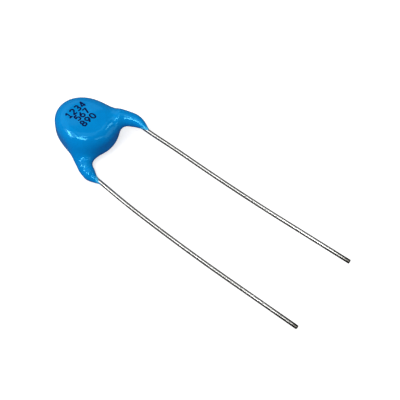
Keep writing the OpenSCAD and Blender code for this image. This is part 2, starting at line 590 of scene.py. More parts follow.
def new_tree(name: str, inputs: dict[str, str]) -> bpy.types.NodeTree:
    """A geometry node tree with a geometry input and output, and named inputs.

    Args:
        name: The tree's name.
        inputs: Each further input's name, with its kind, such as Float.

    Returns:
        The empty tree, with its group input and output nodes.
    """
    tree = bpy.data.node_groups.new(name, "GeometryNodeTree")
    face = tree.interface
    for title, kind in {"Geometry": "Geometry", **inputs}.items():
        face.new_socket(title, in_out="INPUT", socket_type="NodeSocket" + kind)
    face.new_socket("Geometry", in_out="OUTPUT", socket_type="NodeSocketGeometry")
    tree.nodes.new("NodeGroupInput")
    tree.nodes.new("NodeGroupOutput")
    return tree


def end_tree(
    tree: bpy.types.NodeTree, swept: bpy.types.Node, finish: bpy.types.NodeSocket
) -> None:
    """Ends a tree with smooth shading, Realize Instances and Set Material.

    Args:
        tree: The tree.
        swept: The node whose first output is the tree's geometry.
        finish: The socket that gives the material.
    """
    smooth = add_node(tree, "GeometryNodeSetShadeSmooth", links={"Geometry": swept})
    real = add_node(tree, "GeometryNodeRealizeInstances", links={"Geometry": smooth})
    dressed = {"Geometry": real, "Material": finish}
    made = add_node(tree, "GeometryNodeSetMaterial", links=dressed)
    feed(tree, tree.nodes["Group Output"], {"Geometry": made})


def grown(
    name: str,
    base: bpy.types.ID,
    tree: bpy.types.NodeTree,
    values: dict[str, object],
) -> bpy.types.Object:
    """Runs a tree on curve or mesh data and keeps the result as a plain mesh object.

    Args:
        name: The new object's name.
        base: The curve or mesh that the tree starts from.
        tree: The geometry node tree.
        values: Values for the tree's inputs, by the inputs' names.

    Returns:
        A mesh object with no modifier on it.
    """
    seed = placed(name + "_seed", base)
    step = seed.modifiers.new("grow", "NODES")
    step.node_group = tree
    sockets = {s.name: s.identifier for s in tree.interface.items_tree if s.in_out == "INPUT"}
    for title, value in values.items():
        step[sockets[title]] = value
    seed.update_tag()
    bpy.context.view_layer.update()
    graph = bpy.context.evaluated_depsgraph_get()
    mesh = bpy.data.meshes.new_from_object(seed.evaluated_get(graph), depsgraph=graph)
    mesh.name = name
    seed.modifiers.clear()
    bpy.data.objects.remove(seed)
    return placed(name, mesh)


def poly_curve(name: str, lines: Iterable[tuple[np.ndarray, np.ndarray]]) -> bpy.types.Curve:
    """Curve data with one poly spline a line.

    Args:
        name: The data's name.
        lines: Each line's points in metres, and its radius at each point.

    Returns:
        The curve data.
    """
    curve = bpy.data.curves.new(name, "CURVE")
    curve.dimensions = "3D"
    for points, radii in lines:
        spline = curve.splines.new("POLY")
        spline.points.add(len(points) - 1)
        flat = np.column_stack([points, np.ones(len(points))]).ravel()
        spline.points.foreach_set("co", flat)
        spline.points.foreach_set("radius", radii)
    return curve


# ---------------------------------------------------------------- sizes shared by coat and wire


@dataclass(frozen=True)
class WireBend:
    """The middle line that each lead and the resin round it share, in the right half."""

    half_pitch: float = 5.0
    bend_radius: float = 5.3
    bend_angle: float = 48.0
    bend_drop: float = 5.9
    wire_height: float = 1.5
    wire_radius: float = 0.3
    # Handling bent each wire sideways a hair, most at this drop, over a shorter length inside the
    # resin than outside.
    kink_drop: float = 7.0
    kink_inside: float = 1.3
    kink_outside: float = 4.2
    right_kink: float = -0.22
    left_kink: float = 0.13
    # The middle of the disc, up to this far each way, isn't bent.
    stiff_middle: float = 1.0

    @property
    def centre(self) -> np.ndarray:
        """The bend's centre."""
        return np.array([self.half_pitch - self.bend_radius, -self.bend_drop])

    @property
    def inner_way(self) -> np.ndarray:
        """The way the wire runs on past the bend, over the electrode."""
        turn = math.radians(self.bend_angle)
        return np.array([-math.sin(turn), math.cos(turn)])

    @property
    def end(self) -> np.ndarray:
        """The bend's inner end."""
        turn = math.radians(self.bend_angle)
        return self.centre + self.bend_radius * np.array([math.cos(turn), math.sin(turn)])

    def handled(self, points: np.ndarray) -> np.ndarray:
        """Bends both wires a hair where they leave the resin, as handling does.

        Args:
            points: Points of a wire or of the resin in the disc frame.

        Returns:
            The points, moved sideways near the leg ends only.
        """
        y = points[:, 1] + self.kink_drop
        bump = np.exp(-((y / np.where(y > 0, self.kink_inside, self.kink_outside)) ** 2))
        bump *= ease(np.abs(points[:, 0]) - self.stiff_middle)
        moved = points.copy()
        moved[:, 0] += bump * np.where(points[:, 0] > 0, self.right_kink, self.left_kink)
        return moved


# ---------------------------------------------------------------- the coating


@dataclass(frozen=True)
class LegEnd:
    """How the resin ends on one wire. Angles go round the wire, from outward to up."""

    # How far below the disc's middle it ends.
    drop: float
    # The end is askew by this much: lower at this angle, or higher there if it is negative.
    slant: float
    slant_way: float
    # A tongue of resin crept this much farther, at this angle.
    tongue: float
    tongue_way: float
    # How far the whole end is slid on from its drop.
    shift: float = 0.0
    # Ripples along the leg: where a crest lies, how high it stands, and at which angle.
    ripple_start: float = 0.0
    ripple_depth: float = 0.0
    ripple_way: float = 0.0


@dataclass
class Coating:
    """The dipped skin: a sagging rounded disc flowed together with a leg on each lead."""

    bend: WireBend
    pose: RestPose
    width: float = 8.67
    thickness: float = 4.74
    edge_round: float = 1.8
    crown_sag: float = 1.24
    leg_radius: float = 0.97
    taper_length: float = 2.48
    end_film: float = 0.09
    leg_ends: dict[Side, LegEnd] = field(
        default_factory=lambda: {
            Side.RIGHT: LegEnd(
                drop=6.75, slant=0.5, slant_way=27.0, tongue=0.25, tongue_way=100.0
            ),
            Side.LEFT: LegEnd(
                drop=7.2,
                shift=-0.45,
                slant=-0.45,
                slant_way=153.0,
                tongue=0.6,
                tongue_way=5.0,
                ripple_start=1.7,
                ripple_depth=0.06,
                ripple_way=-60.0,
            ),
        }
    )
    # A leg's end slides whole at its tip and not at all this far up. Nor does what is farther
    # than the width from the wire, and the slide fades out over the soft part of that width.
    slant_reach: float = 2.4
    slant_width: float = 2.2
    slant_soft: float = 0.8
    # The resin thins to a film over this length. The film's rings go from its edge up, each with
    # its share of the film's own length and its radius.
    film_length: float = 0.28
    film_rings: tuple[tuple[float, float], ...] = (
        (1.0, 0.305),
        (0.8, 0.311),
        (0.45, 0.316),
        (0.15, 0.322),
    )
    # The film's own length, its three waves and seven waves round the wire, and how wide a
    # tongue is, in radians.
    film_creep: float = 0.12
    film_waves: tuple[float, float] = (0.05, 0.02)
    tongue_width: float = 0.55
    # How far apart ripples are. They swell over the start of the leg, end this far along it, and
    # fade out past that end.
    ripple_length: float = 1.6
    ripple_swell: float = 1.2
    ripple_end: float = 4.0
    ripple_fade: float = 1.5
    # Disc and legs flow together over this reach.
    web_blend: float = 3.72
    # A leg runs on this far past its bend, and sinks to the disc's middle over the dip. Farther
    # than the range from the wire's line, it lets go.
    inner_resin: float = 2.0
    dip_start: float = 4.2
    dip_length: float = 2.0
    pull_range: float = 2.0
    rim_points: int = 176
    # Sections fan across the disc, from a middle this far below the bend's. Past the turn they
    # rise to the wire's height and their points spread evenly, each over its own range. Towards
    # the crown they reach out by this share of the disc's half width.
    root_drop: float = 0.2
    fan_steps: int = 300
    fan_turn: float = 20.0
    fan_rise: float = 42.0
    fan_spread: float = 55.0
    fan_crown: float = 0.4
    # A leg's rounded tip starts at this share of the resin's thickness. Sections lie at these
    # shares of the tip, and then in even steps up to the fan.
    tip_start: float = 0.35
    tip_steps: tuple[float, ...] = (1.0, 0.94, 0.84, 0.7, 0.5, 0.25, 0.0)
    leg_steps: int = 26
    # The skin is looked for up to this far from a section's middle.
    skin_reach: float = 5.6
    halvings: int = 22
    finish: DippedEpoxy = field(default_factory=DippedEpoxy)

    @property
    def end_radius(self) -> float:
        """The resin's radius where a leg ends."""
        return self.bend.wire_radius + self.end_film

    def round_angles(self) -> np.ndarray:
        """The angles of a loop's points, in radians."""
        return 2 * np.pi * np.arange(self.rim_points) / self.rim_points

    def disc_field(self, p: np.ndarray) -> np.ndarray:
        """Distance to the rounded disc.

        Args:
            p: Points in the disc frame.

        Returns:
            The distance, negative inside.
        """
        radius = self.width / 2
        y = np.where(p[..., 1] > 0, p[..., 1] * radius / (radius + self.crown_sag), p[..., 1])
        a = np.hypot(p[..., 0], y) - radius + self.edge_round
        b = np.abs(p[..., 2]) - self.thickness / 2 + self.edge_round
        outside = np.hypot(np.maximum(a, 0), np.maximum(b, 0))
        return outside + np.minimum(np.maximum(a, b), 0) - self.edge_round

    def ripple(self, s: np.ndarray, turned: np.ndarray, tip: LegEnd) -> np.ndarray:
        """How far the resin's ripples stand out.

        Args:
            s: Distances along the leg from its end.
            turned: Angles round the wire, in radians.
            tip: The leg's end, which says where the ripples lie.

        Returns:
            The ripples' height at each point.
        """
        wave = np.cos(2 * np.pi * (s - tip.ripple_start) / self.ripple_length)
        wave *= (0.5 + 0.5 * np.cos(turned - math.radians(tip.ripple_way))) ** 2
        fade = 1 - ease((s - self.ripple_end) / self.ripple_fade)
        return tip.ripple_depth * wave * ease(s / self.ripple_swell) * fade

    def leg_field(self, p: np.ndarray, tip: LegEnd) -> np.ndarray:
        """Distance to a leg, in its own half.

        Args:
            p: Points, as for the right leg.
            tip: Where the leg ends and where its ripples lie.

        Returns:
            The distance, with what is far off pushed farther.
        """
        b = self.bend
        out = tip.drop - b.bend_drop
        top = math.radians(b.bend_angle)
        # The nearest points on the bend, on the straight below it and on the straight past it.
        v = p[..., :2] - b.centre
        turn = np.clip(np.arctan2(v[..., 1], v[..., 0]), 0, top)
        down = np.clip(-b.bend_drop - p[..., 1], 0, out)
        w = p[..., :2] - b.end
        inward = np.clip(w @ b.inner_way, 0, self.inner_resin)
        to_bend = np.hypot(
            v[..., 0] - b.bend_radius * np.cos(turn), v[..., 1] - b.bend_radius * np.sin(turn)
        )
        to_end = np.hypot(p[..., 0] - b.half_pitch, p[..., 1] + b.bend_drop + down)
        way = b.inner_way
        to_root = np.hypot(w[..., 0] - inward * way[0], w[..., 1] - inward * way[1])
        near = np.minimum(to_bend, np.minimum(to_end, to_root))
        s = np.where(
            near == to_bend,
            out + b.bend_radius * turn,
            np.where(near == to_end, out - down, out + b.bend_radius * top + inward),
        )
        height = b.wire_height * (1 - ease((s - self.dip_start) / self.dip_length))
        u = np.clip(s / self.taper_length, 0, 1)
        radius = self.end_radius + (self.leg_radius - self.end_radius) * u * (2 - u)
        off_bend = np.hypot(v[..., 0], v[..., 1]) - b.bend_radius
        outward = np.where(near == to_bend, off_bend, p[..., 0] - b.half_pitch)
        radius += self.ripple(s, np.arctan2(p[..., 2] - height, outward), tip)
        far = np.maximum(near - self.pull_range, 0)
        return np.hypot(near, p[..., 2] - height) - radius + far * far / 2

    def skin_field(self, p: np.ndarray) -> np.ndarray:
        """Distance to the whole skin.

        Args:
            p: Points in the disc frame.

        Returns:
            The distance, negative inside.
        """
        right = self.leg_field(p, self.leg_ends[Side.RIGHT])
        left = self.leg_field(p * np.array([-1, 1, -1]), self.leg_ends[Side.LEFT])
        return blend(blend(self.disc_field(p), right, self.web_blend), left, self.web_blend)

    def skin_from(self, middle: np.ndarray, way: np.ndarray) -> np.ndarray:
        """Points of the skin seen from a middle point, found by halving.

        Args:
            middle: The point that looks out.
            way: The unit ways that it looks in.

        Returns:
            One point of the skin a way.
        """
        low = np.zeros(way.shape[:-1])
        high = np.full(way.shape[:-1], self.skin_reach)
        for _ in range(self.halvings):
            mid = (low + high) / 2
            outside = self.skin_field(middle + mid[..., None] * way) > 0
            high = np.where(outside, mid, high)
            low = np.where(outside, low, mid)
        return middle + ((low + high) / 2)[..., None] * way

    def section(self, middle: np.ndarray, outward: np.ndarray, flatness: float) -> np.ndarray:
        """One closed loop of skin points around a middle point.

        Args:
            middle: The section's middle.
            outward: The way that the loop starts in.
            flatness: How much the ways are spread towards the rim, from 0.5 to 1.

        Returns:
            The loop's points.
        """
        t = self.round_angles()
        flat = np.column_stack([np.cos(t), flatness * np.sin(t)])
        flat /= np.linalg.norm(flat, axis=1, keepdims=True)
        way = flat[:, :1] * outward + flat[:, 1:] * np.array([0.0, 0.0, 1.0])
        return self.skin_from(middle, way)

    def fan_section(self, angle: float) -> np.ndarray:
        """A loop across the disc.

        Args:
            angle: Which way it reaches, in degrees from the crown.

        Returns:
            The loop's points.
        """
        b = self.bend
        a = math.radians(angle)
        past = abs(angle) - self.fan_turn
        outward = np.array([math.sin(a), math.cos(a), 0.0])
        reach = b.half_pitch + self.fan_crown * self.width / 2 * math.cos(a) ** 4
        rise = math.copysign(b.wire_height, angle) * ease(past / self.fan_rise)
        middle = np.array([0.0, -b.bend_drop - self.root_drop, rise]) + reach * outward
        return self.section(middle, outward, 0.5 + 0.5 * ease(past / self.fan_spread))

    def leg_loops(self, side: Side) -> list[np.ndarray]:
        """Loops along a leg, from the ragged edge of the film that crept down the wire.

        Args:
            side: Whose leg it is.

        Returns:
            Each loop's points, up to where the fan starts.
        """
        b, tip, sign = self.bend, self.leg_ends[side], side.value
        ring = b.wire_radius + self.tip_start * self.end_film
        over = math.sqrt(self.end_radius * self.end_radius - ring * ring)
        t = self.round_angles()
        off = np.angle(np.exp(1j * (t - math.radians(tip.tongue_way))))
        three, seven = self.film_waves
        ragged = self.film_creep + three * np.cos(3 * t + 1) + seven * np.cos(7 * t)
        ragged += tip.tongue * np.exp(-((off / self.tongue_width) ** 2))
        loops = []
        for share, radius in self.film_rings:
            x = sign * (b.half_pitch + radius * np.cos(t))
            z = sign * b.wire_height + radius * np.sin(t)
            loops.append(np.column_stack([x, -(tip.drop + over + share * ragged), z]))
        root = b.bend_drop + self.root_drop
        drops = [tip.drop + over * k for k in self.tip_steps]
        rest = range(1, self.leg_steps)
        drops += [tip.drop + (root - tip.drop) * k / self.leg_steps for k in rest]
        for drop in drops:
            middle = np.array([sign * b.half_pitch, -drop, sign * b.wire_height])
            loops.append(self.section(middle, np.array([sign, 0.0, 0.0]), 1.0))
        return loops

    def slanted(self, side: Side, points: np.ndarray) -> np.ndarray:
        """Slides a leg's end along its wire, more on one side than on the other.

        Args:
            side: Whose leg it is.
            points: Points of the skin in the disc frame.

        Returns:
            The points, moved only near that leg's end.
        """
        b, tip, sign = self.bend, self.leg_ends[side], side.value
        out = sign * points[:, 0] - b.half_pitch
        turn = np.arctan2(points[:, 2] - sign * b.wire_height, out)
        near = ease(1 - (tip.drop + points[:, 1]) / self.slant_reach)
        near *= ease((self.slant_width - np.abs(out)) / self.slant_soft)
        slide = tip.shift + tip.slant * np.cos(turn - math.radians(tip.slant_way))
        moved = points.copy()
        moved[:, 1] -= slide * near
        return moved

    def film(self, points: np.ndarray) -> np.ndarray:
        """How thin the resin is.

        Args:
            points: Points of the skin in the disc frame, before its ends are slid.

        Returns:
            1 where the resin feathers out on a wire and 0 where it is full.
        """
        right, left = (self.leg_ends[side].drop for side in Side)
        drops = np.where(points[:, 0] > 0, right, left)
        return ease(1 - (drops + points[:, 1]) / self.film_length)

    def build(self) -> bpy.types.Object:
        """Lofts the skin from leg tip to leg tip.

        Returns:
            The coating, closed, in place of its CAD node.
        """
        loops = self.leg_loops(Side.RIGHT)
        angles = [90 - 180 * i / self.fan_steps for i in range(self.fan_steps + 1)]
        loops += [self.fan_section(angle) for angle in angles]
        loops += self.leg_loops(Side.LEFT)[::-1]
        points = np.vstack(loops)
        film = self.film(points)
        points = self.slanted(Side.LEFT, self.slanted(Side.RIGHT, points))
        points = self.pose.lay(self.bend.handled(points))
        here = np.arange(len(points)).reshape(len(loops), -1)
        next_to = np.roll(here, -1, axis=1)
        walls = np.stack([here[:-1], here[1:], next_to[1:], next_to[:-1]], axis=-1)
        faces = walls.reshape(-1, 4).tolist() + [here[0].tolist(), here[-1, ::-1].tolist()]
        mesh = bpy.data.meshes.new("dipped_coating")
        mesh.from_pydata(points.tolist(), [], faces)
        mesh.shade_smooth()
        mesh.validate()
        mesh.attributes.new("film", "FLOAT", "POINT").data.foreach_set("value", film)
        mesh.materials.append(self.finish.material())
        made = placed("dipped_coating", mesh)
        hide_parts("epoxy_coating")
        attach(made, "root")
        return made


# ---------------------------------------------------------------- the leads


@dataclass
class Lead:
    """One tinned wire: over its electrode, round its bend and out in a long gentle sweep."""

    side: Side
    bend: WireBend
    pose: RestPose
    # The whole wire is turned by this about its bend's lower end. From there it sweeps to +X over
    # the sweep's length and angle, and ends in a straight pin.
    lean: float
    pin_length: float
    sweep_length: float = 26.4
    sweep_angle: float = 4.7
    # The ceramic's middle lies this far up from the disc's, and the solder this far short of it
    # along the wire.
    ceramic_offset: float = 0.5
    solder_shift: float = 1.2
    solder_radius: float = 1.15
    # The wire ends this share of the mound's radius past the mound's middle.
    solder_grip: float = 0.65
    sides: int = 40
    spacing: float = 0.12
    knee_points: int = 60
    inner_points: int = 24
    dent_size: float = 1.1
    dent_depth: float = 0.001
    # Noise at this level leaves the skin where it is. Most of it is lower, so it mostly dents.
    dent_level: float = 0.62
    # How far the tin's colour darkens at the cut, from 0 to 1, and how far up it is bright again.
    tip_dark_share: float = 0.8
    tip_dark_length: float = 7.0
    # How much darker still it is close to the cut, the length over which that fades, and how many
    # such lengths off it has gone.
    end_dark_share: float = 0.16
    cut_length: float = 0.9
    cut_end: float = 1.2
    finish: TinnedCopper = field(default_factory=TinnedCopper)
    end_finish: ShearedEnd = field(default_factory=ShearedEnd)

    @property
    def node(self) -> str:
        """The CAD node that this lead stands for."""
        return f"{self.side.name.lower()}_lead"

    def inner_length(self) -> float:
        """Length of the wire past its bend.

        Returns:
            The length, which ends a little beyond the solder's middle.
        """
        b = self.bend
        lean = math.radians(self.lean)
        root = np.array([b.half_pitch, -b.bend_drop])
        x, y = np.array([0.0, self.ceramic_offset]) - root
        turned = np.array(
            [x * math.cos(lean) + y * math.sin(lean), y * math.cos(lean) - x * math.sin(lean)]
        )
        past = float((turned - (b.end - root)) @ b.inner_way)
        return past - self.solder_shift + self.solder_grip * self.solder_radius

    def path(self) -> np.ndarray:
        """Lays out the wire's middle line.

        Returns:
            Its points in the disc frame, from its inner end to its tip.
        """
        b = self.bend
        turn = math.radians(self.sweep_angle)
        radius = self.sweep_length / turn
        way = self.side.value
        a = np.linspace(0, turn, int(self.sweep_length / self.spacing))
        sweep = np.column_stack([way * radius * (1 - np.cos(a)), -radius * np.sin(a)])
        t = np.linspace(0, self.pin_length, int(self.pin_length / self.spacing))[1:, None]
        pin = sweep[-1] + t * np.array([way * math.sin(turn), -math.cos(turn)])
        a = np.linspace(math.radians(b.bend_angle), 0, self.knee_points)[:-1]
        knee = np.column_stack([-b.bend_radius * (1 - np.cos(a)), b.bend_radius * np.sin(a)])
        t = np.linspace(self.inner_length(), 0, self.inner_points)[:-1, None]
        flat = np.vstack([knee[0] + t * b.inner_way, knee, sweep, pin])
        lean = math.radians(self.lean)
        x = flat[:, 0] * math.cos(lean) - flat[:, 1] * math.sin(lean) + b.half_pitch
        y = flat[:, 0] * math.sin(lean) + flat[:, 1] * math.cos(lean) - b.bend_drop
        z = np.full(len(x), b.wire_height)
        return np.column_stack([self.side.value * x, y, self.side.value * z])

    @staticmethod
    def wire_tree() -> bpy.types.NodeTree:
        """Makes the tree that sweeps a round wire along a curve and dents its skin a little.

        Returns:
            The tree, which both leads share.
        """
        found = bpy.data.node_groups.get("drawn_wire")
        if found:
            return found
        tree = new_tree(
            "drawn_wire",
            {
                "Wire Radius": "Float",
                "Sides": "Int",
                "Dents Per Metre": "Float",
                "Dent Depth": "Float",
                "Dent Level": "Float",
                "Finish": "Material",
            },
        )
        given = tree.nodes["Group Input"].outputs
        round_wire = add_node(
            tree,
            "GeometryNodeCurvePrimitiveCircle",
            links={"Resolution": given["Sides"], "Radius": given["Wire Radius"]},
        )
        swept = add_node(
            tree,
            "GeometryNodeCurveToMesh",
            links={"Curve": given["Geometry"], "Profile Curve": round_wire, "Fill Caps": True},
        )
        dents = add_node(
            tree, "ShaderNodeTexNoise", links={"Scale": given["Dents Per Metre"], "Detail": 2.0}
        )
        centred = add_node(
            tree, "ShaderNodeMath", {"operation": "SUBTRACT"}, {0: dents, 1: given["Dent Level"]}
        )
        depth = add_node(
            tree, "ShaderNodeMath", {"operation": "MULTIPLY"}, {0: centred, 1: given["Dent Depth"]}
        )
        outward = add_node(tree, "GeometryNodeInputNormal")
        shift = add_node(
            tree,
            "ShaderNodeVectorMath",
            {"operation": "SCALE"},
            {"Vector": outward, "Scale": depth},
        )
        dented = add_node(
            tree, "GeometryNodeSetPosition", links={"Geometry": swept, "Offset": shift}
        )
        end_tree(tree, dented, given["Finish"])
        return tree

    def wear(self, mesh: bpy.types.Mesh, tip: np.ndarray) -> None:
        """Marks how much darker the tin is coloured towards its cut end, as a mesh attribute.

        Args:
            mesh: The wire's mesh.
            tip: The wire's outer end, in metres.
        """
        skin = np.empty(3 * len(mesh.vertices))
        mesh.vertices.foreach_get("co", skin)
        gone = np.linalg.norm(skin.reshape(-1, 3) / MM - tip / MM, axis=1)
        wear = self.tip_dark_share * ease(1 - gone / self.tip_dark_length)
        wear += self.end_dark_share * ease(self.cut_end - gone / self.cut_length)
        mesh.attributes.new("wear", "FLOAT", "POINT").data.foreach_set("value", wear)

    def build(self) -> bpy.types.Object:
        """Sweeps the wire and gives its two cut ends their own finish.

        Returns:
            The lead, in place of its CAD node.
        """
        points = self.pose.lay(self.bend.handled(self.path()))
        made = grown(
            f"tinned_{self.node}",
            poly_curve(self.node + "_line", [(points, np.ones(len(points)))]),
            self.wire_tree(),
            {
                "Wire Radius": self.bend.wire_radius * MM,
                "Sides": self.sides,
                "Dents Per Metre": per_metre(self.dent_size),
                "Dent Depth": self.dent_depth * MM,
                "Dent Level": self.dent_level,
                "Finish": self.finish.material(),
            },
        )
        made.data.materials.append(self.end_finish.material())
        self.wear(made.data, points[-1])
        # Only the two cut ends have more than four corners.
        for face in made.data.polygons:
            if len(face.vertices) > 4:
                face.material_index = 1
                face.use_smooth = False
        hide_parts(self.node)
        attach(made, "root")
        return made


# ---------------------------------------------------------------- the stamped digits


class Digit:
    """Plain stamped digits as pen strokes, in a box one unit high and WIDTH wide."""

    WIDTH: ClassVar[float] = 0.62
    # A stroke is a run of points (x, y) and arcs, each with its middle, its two radii, the angles
    # that it runs between, in degrees, and how many points it has.
    STROKES: ClassVar[dict[str, tuple[tuple[tuple[float, ...], ...], ...]]] = {
        "0": (((0.31, 0.5, 0.27, 0.46, 90, 450, 40),),),
        "1": (((0.1, 0.74), (0.34, 0.96), (0.34, 0.04)), ((0.08, 0.04), (0.6, 0.04))),
        "2": (((0.31, 0.7, 0.26, 0.26, 165, -38, 22), (0.06, 0.04), (0.58, 0.04)),),
        "3": (((0.29, 0.73, 0.24, 0.23, 150, -90, 22), (0.29, 0.27, 0.28, 0.23, 90, -150, 22)),),
        "4": (((0.44, 0.04), (0.44, 0.96), (0.04, 0.3), (0.6, 0.3)),),
        "5": (((0.54, 0.96), (0.13, 0.96), (0.09, 0.54), (0.29, 0.34, 0.28, 0.3, 118, -150, 24)),),
        "6": (
            (
                (0.46, 0.95),
                (0.52, 0.36, 0.46, 0.46, 125, 175, 10),
                (0.31, 0.31, 0.26, 0.27, 170, 530, 34),
            ),
        ),
        "7": (((0.05, 0.96), (0.57, 0.96), (0.24, 0.04)),),
        "8": (
            ((0.31, 0.73, 0.22, 0.22, 90, 450, 32),),
            ((0.31, 0.27, 0.27, 0.24, 90, 450, 36),),
        ),
        "9": (
            (
                (0.31, 0.69, 0.26, 0.27, -10, -370, 34),
                (0.1, 0.64, 0.46, 0.46, -5, -55, 10),
                (0.16, 0.05),
            ),
        ),
    }

    @staticmethod
    def arc(
        x: float,
        y: float,
        rx: float = 0.0,
        ry: float = 0.0,
        start: float = 0.0,
        end: float = 0.0,
        steps: int = 1,
    ) -> np.ndarray:
        """Points of an elliptical arc, or the one point x, y where nothing else is given."""
        turn = np.radians(np.linspace(start, end, steps))
        return np.column_stack([x + rx * np.cos(turn), y + ry * np.sin(turn)])

    @classmethod
    def strokes(cls, digit: str) -> list[np.ndarray]:
        """The points of each pen stroke of one digit."""
        return [np.vstack([cls.arc(*part) for part in run]) for run in cls.STROKES[digit]]


@dataclass(frozen=True)
class StampedRow:
    """One row of digits: what it says, its middle on the face, and its width."""

    text: str
    x: float
    y: float
    width: float


@dataclass
class FaceStamp:
    """Rows of plain digits pressed on the upper face."""

    coating: Coating
    pose: RestPose
    rows: tuple[StampedRow, ...] = (
        StampedRow("1234", -0.17, 2.44, 3.5),
        StampedRow("567", -0.13, 1.1, 2.42),
        StampedRow("890", -0.2, -0.27, 2.55),
    )
    turn: float = 2.1
    height: float = 1.1
    stroke: float = 0.26
    film: float = 0.012
    # The stroke's width swells by up to this share, in blots of this size.
    unevenness: float = 0.3
    blot_size: float = 0.16
    spacing: float = 0.035
    # A stroke's rounded end has this many points. Its tip's width, squared, is this.
    end_points: int = 6
    end_width: float = 0.02
    # Strokes start this far above the face, and are dropped at most this far.
    start_height: float = 1.0
    drop: float = 10.0
    nib_sides: int = 12
    finish: StampedInk = field(default_factory=StampedInk)

    def pen_lines(self) -> list[tuple[np.ndarray, np.ndarray]]:
        """Lays out every stroke of every row.

        Returns:
            Each stroke's points over the face, with its width factor at each point.
        """
        lines = []
        for row in self.rows:
            wide = Digit.WIDTH * self.height
            gap = (row.width - len(row.text) * wide) / max(len(row.text) - 1, 1)
            for i, digit in enumerate(row.text):
                corner = [-row.width / 2 + i * (wide + gap), -self.height / 2]
                for stroke in Digit.strokes(digit):
                    lines.append(self.pen_line(stroke * self.height + corner, row))
        return lines

    def pen_line(self, flat: np.ndarray, row: StampedRow) -> tuple[np.ndarray, np.ndarray]:
        """Resamples one stroke, rounds its ends and puts it over the face.

        Args:
            flat: The stroke's points, from the middle of its row.
            row: Its row.

        Returns:
            The stroke's points in the row frame, and its width factor at each.
        """
        steps = np.linalg.norm(np.diff(flat, axis=0), axis=1)
        along = np.concatenate([[0], np.cumsum(steps)])
        length = along[-1]
        half = self.stroke / 2
        s = np.linspace(0, length, max(int(length / self.spacing), self.end_points))
        ends = half * (1 - np.cos(np.linspace(0, np.pi / 2, self.end_points)))
        inner = s[(s > half) & (s < length - half)]
        s = np.unique(np.concatenate([ends, inner, length - ends]))
        x = np.interp(s, along, flat[:, 0])
        y = np.interp(s, along, flat[:, 1])
        edge = np.clip(np.minimum(s, length - s) / half, 0, 1)
        radii = np.sqrt(np.clip(1 - (1 - edge) ** 2, self.end_width, 1))
        a = math.radians(self.turn)
        px = row.x + x * math.cos(a) - y * math.sin(a)
        py = row.y + x * math.sin(a) + y * math.cos(a)
        over = np.full(len(px), self.coating.thickness / 2 + self.start_height)
        return self.pose.lay(np.column_stack([px, py, over])), radii

    @staticmethod
    def ink_tree() -> bpy.types.NodeTree:
        """Makes the tree that drops strokes on the coating and gives them a thin uneven film.

        Returns:
            The tree.
        """
        tree = new_tree(
            "stamped_strokes",
            {
                "Coating": "Object",
                "Down": "Vector",
                "Drop": "Float",
                "Nib Sides": "Int",
                "Stroke Width": "Float",
                "Film": "Float",
                "Unevenness": "Float",
                "Blots Per Metre": "Float",
                "Finish": "Material",
            },
        )
        given = tree.nodes["Group Input"].outputs
        target = add_node(
            tree,
            "GeometryNodeObjectInfo",
            {"transform_space": "RELATIVE"},
            {"Object": given["Coating"]},
        )
        hit = add_node(
            tree,
            "GeometryNodeRaycast",
            links={
                "Target Geometry": target.outputs["Geometry"],
                "Ray Direction": given["Down"],
                "Ray Length": given["Drop"],
            },
        )
        dropped = add_node(
            tree,
            "GeometryNodeSetPosition",
            links={"Geometry": given["Geometry"], "Position": hit.outputs["Hit Position"]},
        )
        blots = add_node(
            tree, "ShaderNodeTexNoise", links={"Scale": given["Blots Per Metre"], "Detail": 2.0}
        )
        swing = add_node(
            tree,
            "ShaderNodeMath",
            {"operation": "MULTIPLY_ADD"},
            {0: blots, 1: given["Unevenness"], 2: 1.0},
        )
        pen = add_node(tree, "GeometryNodeInputRadius")
        wide = add_node(tree, "ShaderNodeMath", {"operation": "MULTIPLY"}, {0: pen, 1: swing})
        sized = add_node(
            tree, "GeometryNodeSetCurveRadius", links={"Curve": dropped, "Radius": wide}
        )
        # The nib starts as a circle one unit across, and is scaled to a flat ellipse.
        ring = add_node(
            tree,
            "GeometryNodeCurvePrimitiveCircle",
            links={"Resolution": given["Nib Sides"], "Radius": 0.5},
        )
        flat = add_node(
            tree,
            "ShaderNodeCombineXYZ",
            links={"X": given["Stroke Width"], "Y": given["Film"], "Z": 1.0},
        )
        nib = add_node(tree, "GeometryNodeTransform", links={"Geometry": ring, "Scale": flat})
        swept = add_node(
            tree,
            "GeometryNodeCurveToMesh",
            links={"Curve": sized, "Profile Curve": nib, "Fill Caps": True},
        )
        end_tree(tree, swept, given["Finish"])
        return tree

    def build(self, skin: bpy.types.Object) -> bpy.types.Object:
        """Presses the rows on the skin.

        Args:
            skin: The coating's mesh object.

        Returns:
            The digits as one piece.
        """
        made = grown(
            "stamped_digits",
            poly_curve("digit_strokes", self.pen_lines()),
            self.ink_tree(),
            {
                "Coating": skin,
                "Down": self.pose.matrix().to_3x3() @ Vector((0, 0, -1)),
                "Drop": self.drop * MM,
                "Nib Sides": self.nib_sides,
                "Stroke Width": self.stroke * MM,
                "Film": 2 * self.film * MM,
                "Unevenness": self.unevenness,
                "Blots Per Metre": per_metre(self.blot_size),
                "Finish": self.finish.material(),
            },
        )
        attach(made, "root")
        return made


# ---------------------------------------------------------------- the sealed pieces


class SealedPieces:
    """The pieces inside the coating, which keep their CAD shapes and get real finishes."""

    FINISHES: ClassVar[dict[str, Finish]] = {
        "ceramic_disc": TitanateCeramic(),
        "front_electrode": FiredSilver(),
        "rear_electrode": FiredSilver(),
        "front_solder_joint": TinSolder(),
        "rear_solder_joint": TinSolder(),
    }

    def dress(self, nodes: dict[str, bpy.types.Object]) -> None:
        """Gives each sealed CAD node its material.

        Args:
            nodes: The CAD nodes by name.
        """
        for name, finish in self.FINISHES.items():
            slots = nodes[name].data.materials
            slots.clear()
            slots.append(finish.material())
            log.info("%s: %s", name, finish.name)


